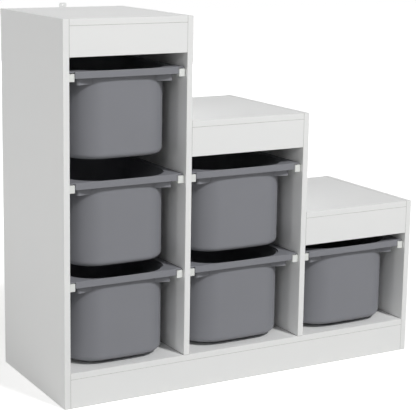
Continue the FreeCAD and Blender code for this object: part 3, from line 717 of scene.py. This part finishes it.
def cam_seats():
    """Each cam's place, the way its face looks and the way to the board that its bolt holds."""
    seats = []
    depth = cad_box[1][1] - CAM_EDGE_INSET * MM
    for name in ("tall_top", "middle_top", "short_top", "bottom_panel"):
        low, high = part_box(name)
        for x, way in ((low[0] + CAM_SETBACK * MM, -1), (high[0] - CAM_SETBACK * MM, 1)):
            seats += [((x, y, low[2]), (0, 0, -1), (way, 0, 0)) for y in (-depth, depth)]
    for name in ("tall_apron", "middle_apron", "short_apron", "front_plinth", "rear_plinth"):
        low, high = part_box(name)
        face, look = (low[1], -1) if name == "rear_plinth" else (high[1], 1)
        for x, way in ((low[0] + CAM_SETBACK * MM, -1), (high[0] - CAM_SETBACK * MM, 1)):
            seats.append(((x, face, high[2] - STRIP_CAM_INSET * MM), (0, look, 0), (way, 0, 0)))
    for name in ("tall_divider", "middle_divider"):
        low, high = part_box(name)
        seats += [((high[0], y, low[2] + CAM_SETBACK * MM), (1, 0, 0), (0, 0, -1)) for y in (-depth, depth)]
    return seats


def make_fasteners(steel):
    """Rail screws and cams, one mesh of each."""
    screw = {"Head Radius": 4.0, "Head Height": 2.4, "Shank Radius": 2.0, "Length": 28.3, "Slot Width": 1.0,
             "Slot Depth": 1.2}
    cam = {"Radius": 7.4, "Height": 12.0, "Slot Length": 9.0, "Slot Width": 1.6, "Slot Depth": 2.0,
           "Tunnel Radius": 3.6, "Tunnel Depth": 7.5, "Tunnel Back": 2.6}
    for name, node, slot, tree, sizes, seats, material in [
        ("rail_screw_set", "rail_screws", "steel_fastener", screw_tree(), screw, screw_seats(), steel),
        ("cam_lock_set", "cam_locks", "zinc_cam", cam_tree(), cam, cam_seats(), cast_zinc()),
    ]:
        values = {label: value * MM for label, value in sizes.items()}
        values["Material"] = material
        piece = made_piece(name, tree, values, seats)
        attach(piece, "cabinet")
        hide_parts(node)


def dress_nodes(steel):
    """Gives each node the first finish whose ending its name has: the empty ending takes all the boards."""
    finishes = {"_back": lacquered_hardboard(), "_rail": extruded_plastic(), "cam_bolts": steel,
                "bracket_screws": steel, "dowels": bare_beech(), "wall_bracket": powder_coat(),
                "": white_melamine()}
    for name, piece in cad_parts.items():
        piece.data.materials.clear()
        piece.data.materials.append(next(look for ending, look in finishes.items() if name.endswith(ending)))


# Floor, light and camera

FLOOR_REACH = 12.0
WORLD_LIGHT = 0.14
LAMP_AIM = (0, 0, 0.4)


def seen_share(tree):
    """1 where the camera looks, straight or by way of metal or glass, and 0 for light falling on things."""
    ray = add(tree, "ShaderNodeLightPath")
    seen = add(tree, "ShaderNodeMath", {0: ray["Is Camera Ray"], 1: ray["Is Glossy Ray"]},
               operation="MAXIMUM")[0]
    return add(tree, "ShaderNodeMath", {0: seen, 1: ray["Is Transmission Ray"]}, operation="MAXIMUM")[0]


def make_floor():
    """Pale floor under the cabinet, which shows its shadow and fades to white further off."""
    floor_mesh = bpy.data.meshes.new("floor")
    corners = [(x * FLOOR_REACH, y * FLOOR_REACH, 0) for x, y in ((-1, -1), (1, -1), (1, 1), (-1, 1))]
    floor_mesh.from_pydata(corners, [], [(0, 1, 2, 3)])
    floor = bpy.data.objects.new("floor", floor_mesh)
    bpy.context.scene.collection.objects.link(floor)
    material, tree = new_material("pale_floor")
    place = add(tree, "ShaderNodeTexCoord")["Object"]
    away = add(tree, "ShaderNodeVectorMath", {0: place}, operation="LENGTH")["Value"]
    white = add(tree, "ShaderNodeMapRange", {
        "Value": away, "From Min": 0.6, "From Max": 1.6, "To Min": 0.66, "To Max": 1.0})[0]
    lift = add(tree, "ShaderNodeMath", {0: seen_share(tree), 1: white}, operation="MULTIPLY")[0]
    glow = add(tree, "ShaderNodeEmission", {"Color": (1, 1, 1, 1), "Strength": lift})[0]
    matt = add(tree, "ShaderNodeBsdfDiffuse", {"Color": linear("#cfcfcd")})[0]
    both = add(tree, "ShaderNodeAddShader", {0: matt, 1: glow})[0]
    add(tree, "ShaderNodeOutputMaterial", {0: both})
    floor_mesh.materials.append(material)


def make_surroundings():
    """Surroundings that look white and give a little light from all sides."""
    world = bpy.data.worlds.new("studio")
    bpy.context.scene.world = world
    world.use_nodes = True
    tree = world.node_tree
    tree.nodes.clear()
    strength = add(tree, "ShaderNodeMapRange", {"Value": seen_share(tree), "To Min": WORLD_LIGHT})[0]
    sky = add(tree, "ShaderNodeBackground", {"Color": (1, 1, 1, 1), "Strength": strength})[0]
    add(tree, "ShaderNodeOutputWorld", {0: sky})


def make_lamps():
    """Round soft lamps, the strongest at the front: place and width in metres, power in watts."""
    for name, spot, width, power in [
        ("front_softbox", (1.81, -6.33, 6.54), 1.2, 535.0),
        ("left_softbox", (-7.0, 0.6, 2.0), 2.5, 86.0),
        ("left_fill", (-6.9, -1.8, 0.9), 1.2, 39.0),
        ("front_left_fill", (-4.6, -4.6, 3.0), 1.2, 24.0),
        ("rear_fill", (3.0, 6.7, 0.2), 0.4, 280.0),
    ]:
        lamp = bpy.data.lights.new(name, "AREA")
        lamp.shape = "DISK"
        lamp.size = width
        lamp.energy = power
        holder = bpy.data.objects.new(name, lamp)
        bpy.context.scene.collection.objects.link(holder)
        holder.location = spot
        holder.rotation_euler = (Vector(LAMP_AIM) - Vector(spot)).to_track_quat("-Z", "Y").to_euler()


def make_camera():
    """The photograph's viewpoint, to the left of the front and just above the tall top."""
    lens = bpy.data.cameras.new("camera")
    lens.sensor_width = 36.0
    lens.lens = 112.12
    lens.shift_x = 0.10
    lens.shift_y = -0.09
    lens.clip_start = 0.05
    lens.clip_end = 60.0
    holder = bpy.data.objects.new("camera", lens)
    bpy.context.scene.collection.objects.link(holder)
    spot = (-1.6149, -2.7673, 1.0947)
    yaw, pitch, roll = (math.radians(v) for v in (28.219, 10.787, 0.553))
    turn = (Matrix.Rotation(-yaw, 4, "Z") @ Matrix.Rotation(math.pi / 2 - pitch, 4, "X")
            @ Matrix.Rotation(roll, 4, "Z"))
    holder.matrix_world = Matrix.Translation(spot) @ turn
    bpy.context.scene.camera = holder


plating = plated_steel()
dress_nodes(plating)
make_bins()
make_fasteners(plating)
make_floor()
make_surroundings()
make_lamps()
make_camera()
bpy.context.scene.view_settings.view_transform = "Standard"
